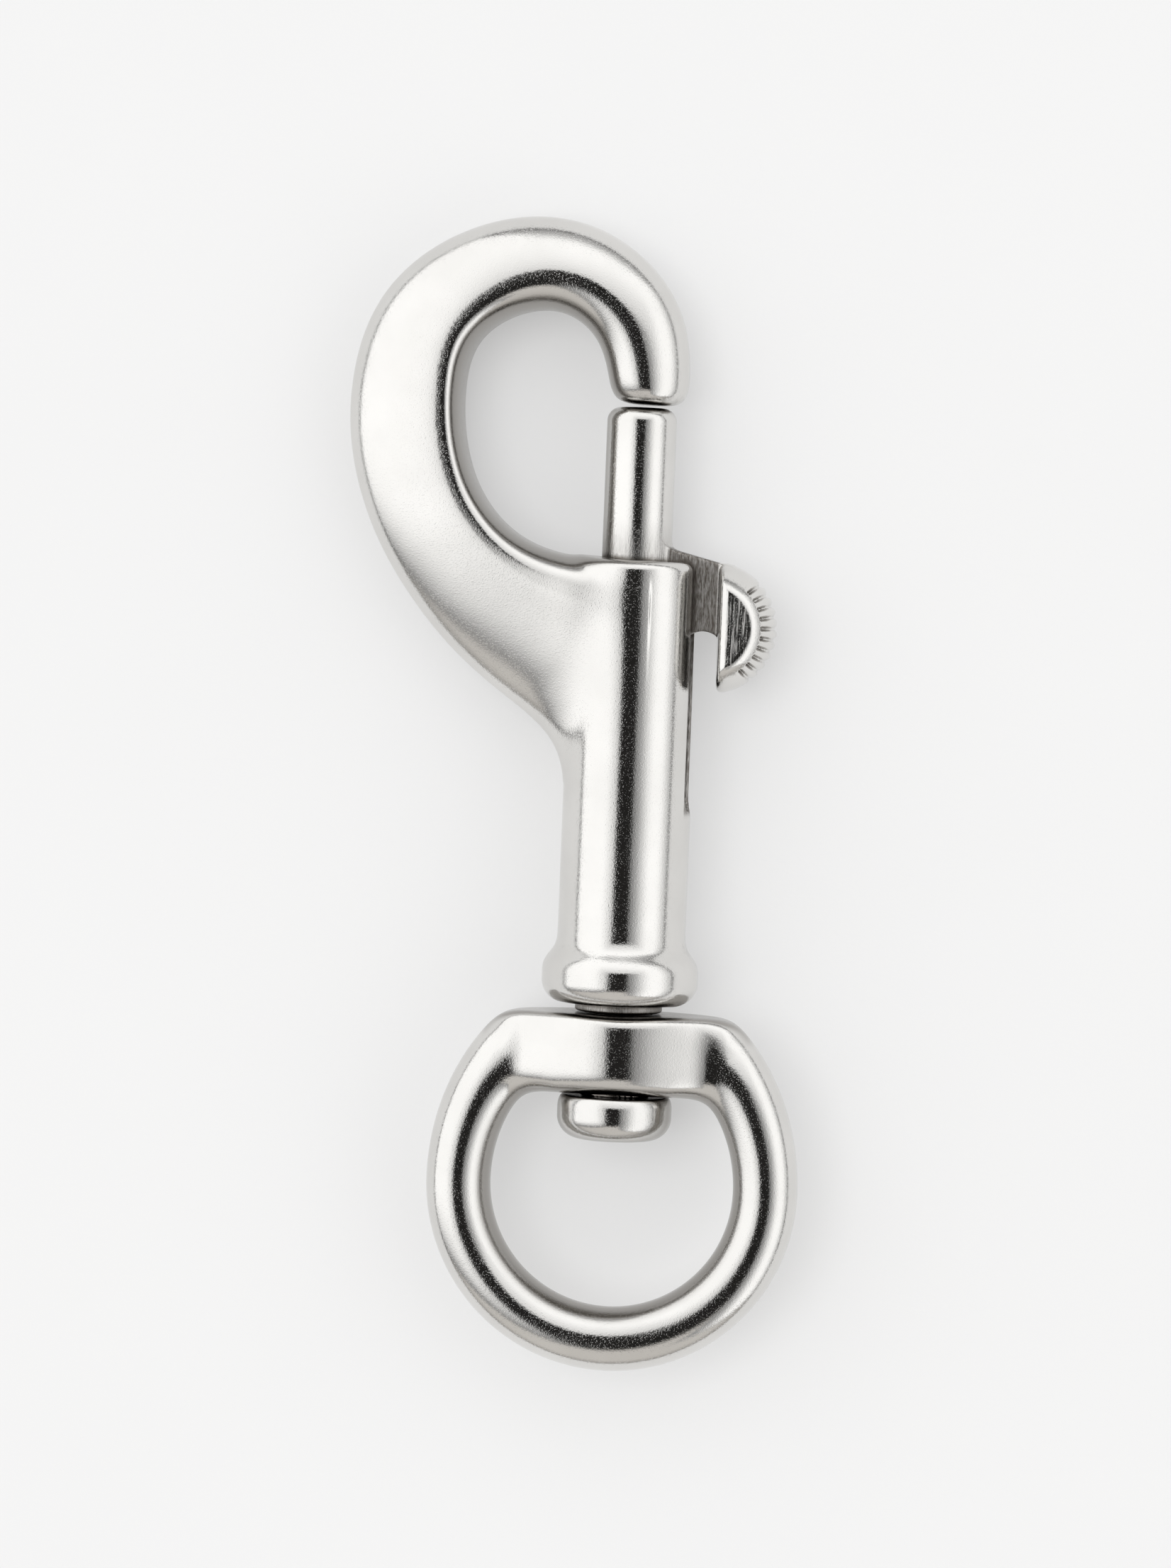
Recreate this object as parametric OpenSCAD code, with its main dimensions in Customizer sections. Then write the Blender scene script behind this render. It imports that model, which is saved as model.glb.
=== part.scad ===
// Swivel snap hook: a cast hook and barrel, a sprung bolt with a ribbed thumb pad,
// and a round eye that turns on a stepped rivet under the barrel.
// The origin is the middle of the eye's opening. The barrel's axis runs along +Y.
// The part lies down as it comes to rest: collar, barrel mouth and hook touch the floor.

/* [Rest] */
// Roll about the barrel's axis that lets the hook's limb touch the floor, degrees
rest_roll = -2.95; // [-10:0.01:10]
// Tilt of the barrel's axis when the part lies down, degrees
rest_pitch = -1.9; // [-6:0.01:6]

/* [Eye] */
// Radius of the round opening
ring_inner_r = 9.4; // [7:0.1:14]
// Width of the ring's section, seen from above
ring_w = 4.95; // [3.5:0.05:6]
// Thickness of the ring's section
ring_t = 5; // [3.5:0.1:6]
// Height that the sides would reach if the outer edge ran on as an ellipse
eye_outer_rise = 16.8; // [15:0.1:22]
// Height that the opening would reach if its edge ran on as an ellipse
eye_inner_rise = 10.5; // [9:0.1:16]
// Height of the bridge's underside above the middle of the opening
bridge_under = 7.1; // [5:0.1:8]
// Height of the bridge along the barrel's axis
bridge_h = 6.05; // [4.5:0.05:7]
// Thickness of the bridge at its boss
bridge_t = 9.4; // [7:0.1:11]
// Distance from the axis over which the boss falls to the ring's thickness
boss_reach = 12.3; // [10:0.1:14]

/* [Swivel pin] */
// Diameter of the rivet head inside the opening
head_d = 8.8; // [7:0.1:10]
// Height of the rivet head
head_h = 3.3; // [2.4:0.1:4.5]
// Radius of the head's lower edge
head_round = 1.4; // [0.6:0.1:2]
// Diameter of the shank that the eye turns on
shank_d = 5; // [3.6:0.1:6]
// Diameter of the shoulder between eye and barrel
neck_d = 6.7; // [5.6:0.1:8]
// Diameter of the spigot through the barrel's base
spigot_d = 4; // [3:0.1:4.6]
// Height of the peened end inside the barrel
peen_h = 1.2; // [0.8:0.1:2]
// Running clearance of the shank, on the radius
shank_clear = 0.1; // [0.05:0.01:0.2]
// End float of the eye under its head and under the shoulder
end_float = 0.1; // [0.05:0.01:0.2]
// Clearance of the spigot in the base, on the radius
spigot_clear = 0.02; // [0.01:0.01:0.05]

/* [Barrel] */
// Outer diameter of the barrel
barrel_d = 9.7; // [8.6:0.1:11]
// Length of the barrel with its collar
barrel_len = 34; // [32:0.5:40]
// Diameter of the bore that guides the bolt
bore_d = 5.6; // [5.45:0.01:6]
// Thickness of the base under the bore
base_t = 3.6; // [2.5:0.1:5]
// Radius of the barrel's upper edge
mouth_round = 0.8; // [0.3:0.1:1]
// Greatest diameter of the collar
collar_d = 11.8; // [10.8:0.1:13]
// Height of the collar with its flare
collar_h = 4.2; // [3:0.1:6]
// Height of the collar's rounded lower edge
collar_round = 1.5; // [0.8:0.1:2]
// Gap between the bridge and the collar, filled by the shoulder
collar_gap = 0.95; // [0.6:0.05:1.5]
// Width of the slot for the thumb arm
slot_w = 2.9; // [2.6:0.05:3.4]
// Height of the slot's closed end above the collar's lower face
slot_start = 14.8; // [13.8:0.1:16]

/* [Hook] */
// Distance from the barrel's axis to the inner face of the limb
opening_w = 13.8; // [12:0.1:18]
// Height of the hook's opening above the barrel
opening_h = 18.5; // [17:0.1:24]
// Height of the nose above the barrel's mouth
gate_h = 11.9; // [11.5:0.1:12.5]
// Width of the section at the nose
nose_w = 5.95; // [5:0.05:7]
// Width of the section at the crown
crown_w = 7.35; // [6:0.05:9]
// Width of the section at the limb
limb_w = 8.7; // [7:0.1:10]
// Width of the section at the heel, where the limb turns to the barrel
heel_w = 9.1; // [7.5:0.1:10.5]
// Thickness of the nose
nose_t = 6; // [5:0.1:7]
// Thickness of the crown and the limb
hook_t = 7; // [5.5:0.1:8]
// Thickness of the web beside the barrel
web_t = 8.2; // [7:0.1:8.6]
// Length of the web along the barrel
web_run = 19.3; // [15:0.1:20]
// Height of the web's edge above the barrel's mouth
web_lip = 0.3; // [0.1:0.05:0.6]
// Radius of the nose's end
nose_round = 0.9; // [0.4:0.1:1.2]

/* [Bolt] */
// Diameter of the bolt
bolt_d = 5.33; // [5:0.01:5.35]
// Length of the bolt
bolt_len = 21.8; // [20:0.1:22.5]
// Bevel of the bolt's lower edge
bolt_bevel = 0.4; // [0.2:0.1:0.8]
// Radius of the bolt's upper edge
bolt_round = 0.8; // [0.4:0.1:1.2]
// Gap between the closed bolt and the nose
bolt_gap = 0.2; // [0.1:0.05:0.4]
// Thickness of the thumb arm
arm_t = 2.4; // [2:0.05:2.5]
// Depth of the arm's underside below the barrel's mouth
arm_drop = 5.7; // [4.6:0.1:6.2]
// Height of the arm's top above the barrel's mouth, beside the bolt
arm_over = 0.9; // [0.5:0.1:1.5]
// Slope of the arm's top edge, degrees
arm_slope = 14; // [8:1:18]
// Radius of the fillet between the arm's top and the bolt
arm_root = 0.9; // [0.3:0.1:1.5]
// Rise of the arch under the arm
arch_rise = 0.5; // [0.3:0.1:0.8]

/* [Thumb pad] */
// Distance from the barrel's axis to the crown of the pad
pad_reach = 11; // [10.4:0.1:13]
// Radius of the pad's ribbed rim
pad_r = 5.05; // [4.4:0.05:6]
// Distance from the barrel's axis to the back of the pad
pad_back = 6.55; // [6.3:0.05:6.9]
// Thickness of the pad
pad_t = 7; // [5:0.1:8]
// Depth of the middle of the pad below the barrel's mouth
pad_drop = 4.9; // [4:0.1:5.5]
// Radius of the pad's two back corners
pad_corner = 0.65; // [0.4:0.05:0.9]
// Distance over which the pad's flat sides round off to its rim
pad_dome = 1.6; // [0.8:0.1:1.8]
// Depth of the grooves between the ribs
rib_depth = 0.32; // [0.1:0.02:0.5]
// Number of grooves
rib_count = 9; // [5:1:10]
// Angle from one groove to the next, degrees
rib_pitch = 12; // [9:1:13]
// Angle of the middle groove below the pad's crown, degrees
rib_drop = 4; // [0:1:8]

/* [Spring] */
// Outer diameter of the spring
spring_d = 5; // [4.4:0.1:5.2]
// Diameter of its wire
wire_d = 0.6; // [0.4:0.05:0.8]
// Number of turns between the closed end turns
spring_turns = 8; // [6:1:10]
// Clearance between the spring and each seat
seat_clear = 0.03; // [0.01:0.01:0.1]

/* [Hidden] */

nickel = [0.80, 0.80, 0.81];
cut = 0.5;
fine = 72;

// Heights along the barrel's axis
collar_y = bridge_under + bridge_h + collar_gap;
mouth_y = collar_y + barrel_len;
nose_y = mouth_y + gate_h;
bolt_top_y = nose_y - bolt_gap;
bolt_bottom_y = bolt_top_y - bolt_len;
bore_bottom_y = collar_y + base_t;
peen_top_y = bore_bottom_y + peen_h;
opening_y = mouth_y + web_lip;

// Places of the pad
pad_cx = pad_reach - pad_r;
pad_cy = mouth_y - pad_drop;

// Points on a round stretch, as an ellipse where the two radii differ
function arc(cx, cy, rx, ry, from, to, steps) =
    [for (i = [0:steps]) let (a = from + (to - from) * i / steps) [cx + rx * cos(a), cy + ry * sin(a)]];

// A smooth step from 0 to 1 as x goes from a to b
function ease(x, a, b) =
    let (t = min(1, max(0, (x - a) / (b - a)))) t * t * (3 - 2 * t);

// The value between b and c of a curve that also passes a and d
function between(a, b, c, d, t) =
    0.5 * (2 * b + (c - a) * t + (2 * a - 5 * b + 4 * c - d) * t * t + (3 * b - a - 3 * c + d) * t * t * t);

// A row of numbers at place t along a list of rows
function along(rows, t) =
    let (
        last = len(rows) - 1,
        i = min(last - 1, floor(t)),
        a = rows[max(0, i - 1)],
        d = rows[min(last, i + 2)]
    )
    [for (k = [0:len(rows[0]) - 1]) between(a[k], rows[i][k], rows[i + 1][k], d[k], t - i)];

function power(x, p) = sign(x) * pow(abs(x), p);

// An egg-shaped section with its inner edge at (x, y), its thick part at the crest
// and its width laid out in the direction dir. Squareness 2 is an ellipse.
function egg(x, y, dir, w, t, crest, square, steps) =
    [for (i = [0:steps - 1])
        let (
            a = 360 * i / steps,
            c = power(cos(a), 2 / square),
            s = power(sin(a), 2 / square),
            along_w = w * (crest + (c < 0 ? crest : 1 - crest) * c)
        )
        [x + along_w * cos(dir), y + along_w * sin(dir), t / 2 * s]];

// A closed skin over a row of rings with equal numbers of points
module skin(rings, loop = false) {
    n = len(rings[0]);
    m = len(rings);
    sides = [for (i = [0:m - (loop ? 1 : 2)], j = [0:n - 1])
        let (a = i * n, b = (i + 1) % m * n, k = (j + 1) % n)
        each [[a + j, b + k, b + j], [a + j, a + k, b + k]]];
    ends = loop ? [] : [
        [for (j = [n - 1:-1:0]) j],
        [for (j = [0:n - 1]) (m - 1) * n + j]
    ];
    polyhedron([for (r = rings) each r], concat(sides, ends), convexity = 8);
}

// Lays the part down as it rests
module at_rest() {
    rotate([rest_pitch, 0, 0])
        rotate([0, rest_roll, 0])
            children();
}

// Stands a turned shape on the barrel's axis, its foot at height y
module on_axis(y) {
    translate([0, y, 0])
        rotate([-90, 0, 0])
            children();
}

// A turned shape from its half profile
module turned(profile) {
    rotate_extrude($fn = fine)
        polygon(profile);
}

// Half profile of the barrel: rounded collar, flare, straight wall, rounded mouth
barrel_r = barrel_d / 2;
collar_r = collar_d / 2;
collar_profile = arc(
    collar_r - collar_round, collar_round, collar_round, collar_round, -90, 0, 6
);
flare_profile = [for (i = [1:8])
    let (h = collar_round + (collar_h - collar_round) * i / 8)
    [collar_r + (barrel_r - collar_r) * ease(h, collar_round, collar_h), h]];
mouth_profile = arc(
    barrel_r - mouth_round, barrel_len - mouth_round, mouth_round, mouth_round, 0, 90, 6
);
barrel_profile = concat([[0, 0]], collar_profile, flare_profile, mouth_profile, [[0, barrel_len]]);

// Sections round the hook, from the nose to inside the barrel. Each row: inner edge as a
// share of the opening's width and height, direction, width, thickness, crest, squareness.
hook_keys = [
    [0.178, (gate_h + nose_round - web_lip) / opening_h, 1, nose_w, nose_t, 0.48, 2.3],
    [0.198, 0.789, 2, nose_w * 1.06, nose_t * 1.05, 0.48, 2.2],
    [0.282, 0.910, 22, crown_w * 0.95, hook_t * 0.94, 0.45, 2.1],
    [0.425, 0.981, 50, crown_w * 0.985, hook_t * 0.985, 0.40, 2.1],
    [0.573, 1.002, 92, crown_w, hook_t, 0.34, 2.1],
    [0.788, 0.955, 124, crown_w * 1.02, hook_t, 0.26, 2.1],
    [0.944, 0.852, 152, limb_w * 0.955, hook_t, 0.22, 2.1],
    [0.997, 0.679, 179, limb_w * 0.995, hook_t, 0.20, 2.1],
    [0.993, 0.490, 187, limb_w * 0.995, hook_t, 0.20, 2.1],
    [0.935, 0.327, 201, limb_w * 0.995, hook_t, 0.20, 2.1],
    [0.800, 0.166, 230, heel_w, hook_t, 0.20, 2.1],
    [0.597, 0.047, 259, web_run * 0.59, (hook_t + web_t) / 2, 0.22, 2.3],
    [0.372, 0.002, 268, web_run * 0.79, web_t, 0.30, 2.7],
    [0.335, 0.002, 268, web_run * 0.90, web_t * 1.05, 0.33, 2.8],
    [0.280, 0.002, 268, web_run, web_t * 1.07, 0.35, 2.8],
    [0.110, 0.002, 268, web_run * 1.01, web_t * 1.07, 0.35, 2.8]
];
hook_points = 28;
hook_steps = 3;

function hook_ring(row, inset) = egg(
    -row[0] * opening_w + inset * cos(row[2]),
    opening_y + row[1] * opening_h + inset * sin(row[2]),
    row[2], row[3] - 2 * inset, row[4] - 2 * inset, row[5], row[6], hook_points
);

// Rings that round off the nose's end
nose_rings = [for (a = [0:30:60])
    let (fall = nose_round * (1 - sin(a)), inset = nose_round * (1 - cos(a)))
    [for (p = hook_ring(hook_keys[0], nose_round - nose_round * sin(a)))
        [p[0], nose_y + nose_round * (1 - cos(a)), p[2]]]];
hook_rings = [for (i = [0:(len(hook_keys) - 1) * hook_steps])
    hook_ring(along(hook_keys, i / hook_steps), 0)];

module hook() {
    skin(concat(nose_rings, hook_rings));
}

module slot() {
    end_y = collar_y + slot_start + slot_w / 2;
    translate([0, end_y, -slot_w / 2])
        cube([barrel_r + cut, mouth_y + cut - end_y, slot_w]);
    translate([0, end_y, 0])
        rotate([0, 90, 0])
            cylinder(d = slot_w, h = barrel_r + cut, $fn = fine);
}

module body() {
    color(nickel)
        at_rest()
            difference() {
                union() {
                    on_axis(collar_y)
                        turned(barrel_profile);
                    hook();
                }
                on_axis(bore_bottom_y)
                    cylinder(d = bore_d, h = barrel_len - base_t + web_t / 2, $fn = fine);
                on_axis(collar_y - cut)
                    cylinder(r = spigot_d / 2 + spigot_clear, h = base_t + 2 * cut, $fn = fine);
                slot();
            }
}

// The pad's outline, drawn in by inset, with grooves of the given depth across its rim
function groove(a) =
    let (
        place = (a + rib_drop) / rib_pitch + (rib_count - 1) / 2,
        off = 2 * abs(place - round(place)),
        inside = place > -0.5 && place < rib_count - 0.5
    )
    inside ? 1 - sqrt(1 - pow(1 - off, 2)) : 0;
function pad_outline(inset, depth) =
    let (
        r = pad_r - inset,
        k = max(0.2, pad_corner - inset / 2),
        back = pad_back + inset,
        side = back + k - pad_cx,
        rise = sqrt(pow(r - k, 2) - side * side),
        end = atan2(rise, side),
        steps = 74
    )
    concat(
        [for (i = [0:steps])
            let (a = -end + 2 * end * i / steps, q = r - depth * groove(a))
            [pad_cx + q * cos(a), pad_cy + q * sin(a)]],
        arc(back + k, pad_cy + rise, k, k, end + 15, 180, 4),
        arc(back + k, pad_cy - rise, k, k, 180, 345 - end, 4)
    );

// Height, inset and rib depth of each ring from the middle of the pad to its flat side, as shares
pad_half = pad_t / 2;
pad_side = [
    [0.30, 0, 1],
    [0.62, 0, 1],
    [0.72, 0.08, 0.8],
    [0.84, 0.25, 0.25],
    [0.92, 0.47, 0],
    [0.98, 0.75, 0],
    [1, 1, 0]
];
pad_levels = concat(
    [for (i = [len(pad_side) - 1:-1:0]) [-pad_side[i][0], pad_side[i][1], pad_side[i][2]]],
    pad_side
);

module pad() {
    skin([for (l = pad_levels)
        [for (p = pad_outline(pad_dome * l[1], rib_depth * l[2])) [p[0], p[1], -l[0] * pad_half]]]);
}

module arm() {
    top_x = (bolt_d + arm_root) / 2;
    top_y = mouth_y + arm_over;
    root_x = bolt_d / 5;
    end_x = pad_back + pad_corner * 1.5;
    arch_x = (barrel_r * 0.88 + pad_back) / 2;
    arch_w = pad_back - barrel_r * 0.88;
    under_y = mouth_y - arm_drop;
    translate([0, 0, -arm_t / 2])
        linear_extrude(arm_t)
            polygon(concat(
                [[end_x, under_y], [end_x, top_y - (end_x - top_x) * tan(arm_slope)]],
                arc(bolt_d / 2 + arm_root, top_y + arm_root, arm_root, arm_root, 270 - arm_slope, 180, 5),
                [[root_x, top_y + arm_root], [root_x, under_y]],
                arc(arch_x, under_y, arch_w / 2, arch_rise, 180, 0, 10)
            ));
}

bolt_profile = concat(
    [[0, 0], [bolt_d / 2 - bolt_bevel, 0], [bolt_d / 2, bolt_bevel]],
    arc(bolt_d / 2 - bolt_round, bolt_len - bolt_round, bolt_round, bolt_round, 0, 90, 6),
    [[0, bolt_len]]
);

module bolt() {
    color(nickel)
        at_rest() {
            on_axis(bolt_bottom_y)
                turned(bolt_profile);
            arm();
            pad();
        }
}

// Height of the wire's middle after the given number of turns
spring_foot = peen_top_y + seat_clear + wire_d / 2;
spring_head = bolt_bottom_y - seat_clear - wire_d / 2;
function wire_y(turn) =
    let (rise = spring_head - spring_foot - 2 * wire_d)
    spring_foot + wire_d * min(1, turn) + rise * min(1, max(0, (turn - 1) / spring_turns))
        + wire_d * max(0, turn - 1 - spring_turns);

module spring() {
    coil_r = (spring_d - wire_d) / 2;
    steps = 14;
    color([0.55, 0.55, 0.57])
        at_rest()
            skin([for (i = [0:steps * (spring_turns + 2)])
                let (a = 360 * i / steps)
                [for (j = [0:5])
                    let (r = coil_r + wire_d / 2 * cos(60 * j))
                    [r * cos(a), wire_y(i / steps) + wire_d / 2 * sin(60 * j), -r * sin(a)]]]);
}

// Heights of the stepped rivet, from the foot of its head
shank_len = bridge_h + 2 * end_float;
neck_len = collar_gap - end_float;
pin_profile = concat(
    [[0, 0]],
    arc(head_d / 2 - head_round, head_round, head_round, head_round, -90, 0, 6),
    [[head_d / 2, head_h]],
    [[shank_d / 2, head_h], [shank_d / 2, head_h + shank_len]],
    [[neck_d / 2, head_h + shank_len], [neck_d / 2, head_h + shank_len + neck_len]],
    [[spigot_d / 2, head_h + shank_len + neck_len]],
    [[spigot_d / 2, head_h + shank_len + neck_len + base_t]],
    arc(bore_d / 2 - peen_h * 0.62, head_h + shank_len + neck_len + base_t + peen_h * 0.5,
        peen_h * 0.5, peen_h * 0.5, -90, 90, 8),
    [[0, head_h + shank_len + neck_len + base_t + peen_h]]
);

module swivel_pin() {
    color(nickel)
        at_rest()
            on_axis(bridge_under - end_float - head_h)
                turned(pin_profile);
}

// The eye's edges: an ellipse above the middle, a circle below, cut by a flat above
// and the higher the crispness the tighter the corner between them
function edge_r(a, r, rise, flat_y, crisp) =
    let (
        round_r = sin(a) > 0 ? 1 / sqrt(pow(cos(a) / r, 2) + pow(sin(a) / rise, 2)) : r,
        flat_r = sin(a) > 0.05 ? flat_y / sin(a) : 10 * r
    )
    pow(pow(round_r, -crisp) + pow(flat_r, -crisp), -1 / crisp);
ring_outer_r = ring_inner_r + ring_w;
bridge_top = bridge_under + bridge_h;

function eye_ring(a) =
    let (
        inner = edge_r(a, ring_inner_r, eye_inner_rise, bridge_under, 20),
        outer = edge_r(a, ring_outer_r, eye_outer_rise, bridge_top, 40),
        mid_x = abs(cos(a)) * (inner + outer) / 2,
        up = sin(a) > 0 ? 1 : 0,
        boss = up * (1 - ease(mid_x, 0, boss_reach)),
        t = ring_t + (bridge_t - ring_t) * boss,
        square = 2.1 + 3 * up * (1 - ease(mid_x, 6, 12))
    )
    egg(inner * cos(a), inner * sin(a), a, outer - inner, t, 0.5, square, 24);

eye_angles = [
    each [-90:10:30],
    each [36:3:69],
    each [75:10:105],
    each [111:3:144],
    each [150:10:260]
];

module eye() {
    bore_len = bridge_h + 2 * cut;
    color(nickel)
        at_rest()
            difference() {
                skin([for (a = eye_angles) eye_ring(a)], loop = true);
                on_axis(bridge_under - cut)
                    cylinder(r = shank_d / 2 + shank_clear, h = bore_len, $fn = fine);
            }
}

body();
bolt();
spring();
swivel_pin();
eye();
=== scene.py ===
import math

import bpy
import numpy as np
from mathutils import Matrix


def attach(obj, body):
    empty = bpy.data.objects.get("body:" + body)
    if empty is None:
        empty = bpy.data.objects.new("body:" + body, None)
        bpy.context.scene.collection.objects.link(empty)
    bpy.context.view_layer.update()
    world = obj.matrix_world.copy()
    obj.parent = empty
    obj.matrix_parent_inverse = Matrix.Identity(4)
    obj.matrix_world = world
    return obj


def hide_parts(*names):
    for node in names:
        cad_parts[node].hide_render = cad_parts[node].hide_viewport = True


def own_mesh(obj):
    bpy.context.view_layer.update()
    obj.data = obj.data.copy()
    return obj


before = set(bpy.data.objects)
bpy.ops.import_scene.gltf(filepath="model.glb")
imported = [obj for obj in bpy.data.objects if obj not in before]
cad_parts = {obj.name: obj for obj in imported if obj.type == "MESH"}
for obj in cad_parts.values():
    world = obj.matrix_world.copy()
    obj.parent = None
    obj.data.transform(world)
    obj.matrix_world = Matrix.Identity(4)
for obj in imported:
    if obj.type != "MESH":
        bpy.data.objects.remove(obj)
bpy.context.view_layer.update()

import openvdb
from mathutils import Matrix, Vector

# Sizes in millimetres in the part's own flat frame: the eye's opening is centred on the
# origin, the barrel's axis is +Y, the thumb pad is on +X and the front face looks to +Z.
# As it lies in the scene the part is rolled and tipped, in degrees, and rests on the floor.
ROLL = -2.95
PITCH = -1.9
FLOOR = -6.41

# Barrel, from its collar to its mouth, and the slot's closed end
BARREL_R = 4.85
BARREL_EDGE = 0.75
COLLAR_R = 5.9
COLLAR_EDGE = 1.35
COLLAR_Y = 14.4
COLLAR_TOP = COLLAR_Y + 3.5
MOUTH_Y = 48.1
BORE_R = 2.8
BORE_Y = 17.7
BASE_HOLE_R = 2.02
SLOT_HALF = 1.45
SLOT_Y = 30.35

# Hook: where its nose ends, and the height past which bore and slot don't reach
NOSE_Y = 60.0
CUTS_END_Y = 53.0

# Eye: half the ring's thickness, half the bridge's at its middle, and the hole for the rivet
RING_HALF = 2.5
BRIDGE_HALF = 4.7
EYE_HOLE_R = 2.6

# Rivet: radius, low end, high end and edge of each stretch
HEAD = (4.4, 3.6, 7.8, 1.75)
HEAD_TOP = 7.0
SHANK = (2.5, 6.0, 13.4, 0.1)
NECK = (3.35, 13.45, 14.4, 0.2)
SPIGOT = (2.0, 13.5, 18.3, 0.1)
PEEN = (2.65, 17.7, 18.9, 0.55)

# Bolt: rod, arm and thumb pad
BOLT_R = 2.665
BOLT_LOW = 38.0
BOLT_TOP = 59.8
BOLT_EDGE = 1.05
ARM_HALF = 1.2
ARM_OVER = 0.9
ARM_DROP = 5.7
ARM_SLOPE = 14
ARCH_RISE = 0.5
PAD_X = 5.95
PAD_Y = 43.2
PAD_R = 5.05
PAD_BACK = 6.55
PAD_HALF = 3.5
RIB_PITCH = 10.4
RIB_DROP = 4
RIB_COUNT = 10

# Spring, and its clearance to each seat
WIRE = 0.6
COIL_R = 2.2
COIL_TURNS = 8
SEAT_CLEAR = 0.03
SPRING_FOOT = PEEN[2] + SEAT_CLEAR


def turn(roll, pitch):
    """The matrix that rolls about +Y and then tips about +X."""
    cr, sr = math.cos(math.radians(roll)), math.sin(math.radians(roll))
    cp, sp = math.cos(math.radians(pitch)), math.sin(math.radians(pitch))
    about_y = np.array([[cr, 0, sr], [0, 1, 0], [-sr, 0, cr]])
    about_x = np.array([[1, 0, 0], [0, cp, -sp], [0, sp, cp]])
    return about_x @ about_y


REST = turn(ROLL, PITCH)


def placed(points):
    """Points of the flat frame in mm, as the part lies in the scene, in metres."""
    return np.asarray(points, float) @ REST.T * 0.001


# Fields: each is below zero inside its solid, and close to a distance near its surface.

def smin(a, b, k):
    """The lesser of two fields, with a fillet over the stretch where they are within k."""
    h = np.maximum(k - np.abs(a - b), 0) / k
    return np.minimum(a, b) - h * h * h * k / 6


def smax(a, b, k):
    return -smin(-a, -b, k)


def step(x, a, b):
    """A smooth step from 0 to 1 as x goes from a to b."""
    t = np.clip((x - a) / (b - a), 0, 1)
    return t * t * (3 - 2 * t)


def drum(r, y, radius, low, high, edge):
    """A solid cylinder with rounded ends, from its radius and its height y."""
    dr = r - radius + edge
    dy = np.abs(y - (low + high) / 2) - (high - low) / 2 + edge
    out = np.hypot(np.maximum(dr, 0), np.maximum(dy, 0))
    return out + np.minimum(np.maximum(dr, dy), 0) - edge


def egg(off, z, inner, outer, half, n_in, n_out):
    """A section with its crest at off = 0, flatter or squarer on its two sides."""
    wide = np.where(off < 0, inner, outer)
    n = np.where(off < 0, n_in, n_out)
    p = np.abs(off) / wide
    q = np.abs(z) / half
    total = np.maximum(p ** n + q ** n, 1e-6)
    rho = total ** (1 / n)
    scale = rho / total
    slope = np.hypot(scale * p ** (n - 1) / wide, scale * q ** (n - 1) / half)
    return (rho - 1) / np.maximum(slope, 0.5 / np.maximum(wide, half))


class Spline:
    """A smooth curve through rows of numbers, straight beyond its ends."""

    def __init__(self, knots, rows):
        self.t = np.asarray(knots, float)
        self.v = np.asarray(rows, float)
        n = len(self.t)
        h = np.diff(self.t)
        chord = np.diff(self.v, axis=0) / h[:, None]
        a = np.zeros((n, n))
        b = np.zeros_like(self.v)
        a[0, :2] = 2, 1
        b[0] = 3 * chord[0]
        a[-1, -2:] = 1, 2
        b[-1] = 3 * chord[-1]
        for i in range(1, n - 1):
            a[i, i - 1:i + 2] = h[i], 2 * (h[i - 1] + h[i]), h[i - 1]
            b[i] = 3 * (h[i] * chord[i - 1] + h[i - 1] * chord[i])
        self.m = np.linalg.solve(a, b)

    def at(self, t, columns):
        """Value and slope of each column at t."""
        inside = np.clip(t, self.t[0], self.t[-1])
        i = np.clip(np.searchsorted(self.t, inside) - 1, 0, len(self.t) - 2)
        h = self.t[i + 1] - self.t[i]
        s = (inside - self.t[i]) / h
        result = []
        for c in columns:
            a, b = self.v[i, c], self.v[i + 1, c]
            p, q = self.m[i, c] * h, self.m[i + 1, c] * h
            k2 = 3 * (b - a) - 2 * p - q
            k3 = 2 * (a - b) + p + q
            slope = (p + 2 * k2 * s + 3 * k3 * s * s) / h
            result.append((a + s * (p + s * (k2 + s * k3)) + slope * (t - inside), slope))
        return result


# Sections round the hook from the nose to inside the barrel: inner edge x and y, direction,
# width, half thickness, crest from the inner edge, squareness inside and outside the crest.
HOOK = [
    [-2.42, 56.50, -0.0, 5.85, 2.99, 2.72, 2.30, 2.15],
    [-2.56, 61.22, 2.4, 6.09, 3.06, 2.78, 2.30, 2.13],
    [-3.71, 64.86, 19.8, 6.77, 3.26, 2.88, 2.30, 2.09],
    [-5.84, 66.62, 52.6, 6.98, 3.45, 2.75, 2.30, 2.06],
    [-8.20, 66.93, 92.4, 7.22, 3.50, 2.40, 2.32, 2.04],
    [-10.86, 66.07, 124.4, 7.60, 3.50, 1.86, 2.40, 2.01],
    [-12.95, 64.16, 152.5, 8.17, 3.50, 1.45, 2.50, 2.00],
    [-13.78, 61.17, 175.3, 8.63, 3.50, 1.28, 2.59, 2.00],
    [-13.64, 57.32, 188.7, 8.81, 3.50, 1.25, 2.61, 2.01],
    [-12.67, 53.93, 205.6, 8.79, 3.53, 1.31, 2.58, 1.97],
    [-11.10, 51.47, 229.7, 9.30, 3.59, 1.45, 2.51, 1.85],
    [-8.99, 49.68, 251.7, 10.84, 3.70, 1.76, 2.50, 1.75],
    [-6.02, 48.53, 264.8, 13.05, 4.01, 2.34, 2.59, 1.77],
    [-2.34, 48.17, 269.2, 16.35, 4.37, 3.05, 2.67, 2.07],
    [1.60, 48.12, 270.0, 20.20, 3.73, 3.59, 2.53, 2.35],
]

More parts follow.
